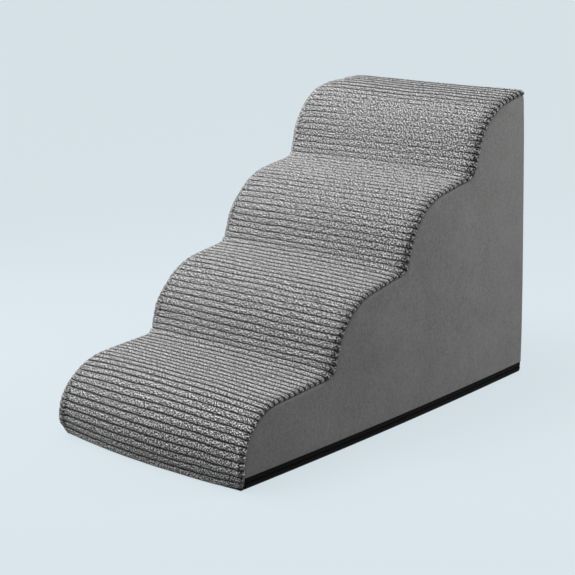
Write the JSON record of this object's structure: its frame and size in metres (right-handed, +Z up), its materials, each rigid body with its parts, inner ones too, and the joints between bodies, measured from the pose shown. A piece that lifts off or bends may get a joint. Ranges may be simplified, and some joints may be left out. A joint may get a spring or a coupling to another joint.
{
  "type": "dog ramp",
  "caption": "Foam pet ramp with wavy steps: ribbed plush walking surface, plain cloth sides and a zipped, removable cover on an anti-slip base.",
  "frame": {"origin": "middle of the footprint, on the floor", "axes": "+X to the right across the width, +Y along the length from the low front to the tall back, +Z up"},
  "size_m": [0.4, 0.7198, 0.5],
  "materials": {
    "foam": "matte",
    "plush": "matte",
    "suede": "matte",
    "base_cloth": "matte",
    "zip_tape": "matte",
    "zip_coil": "satin",
    "zip_metal": "satin"
  },
  "bodies": {
    "ramp": {"foam_core": "foam", "top_panel": "plush", "left_side_panel": "suede", "right_side_panel": "suede", "back_panel": "suede", "base_panel": "base_cloth", "zip_upper_tape": "zip_tape", "zip_lower_tape": "zip_tape", "zip_upper_coil": "zip_coil", "zip_lower_coil": "zip_coil", "zip_top_stops": "zip_coil", "zip_bottom_stop": "zip_coil"},
    "slider": {"zip_slider": "zip_metal"},
    "pull": {"zip_pull_tab": "zip_metal"}
  },
  "joints": [
    {"name": "zip_slide", "type": "slide", "parent": "ramp", "child": "slider", "axis": [0, 1, 0], "range_m": [0, 0.66]},
    {"name": "pull_swing", "type": "hinge", "parent": "slider", "child": "pull", "pos_m": [-0.1981, -0.3289, 0.009], "axis": [0, 0, 1], "range_deg": [0, 180]}
  ]
}
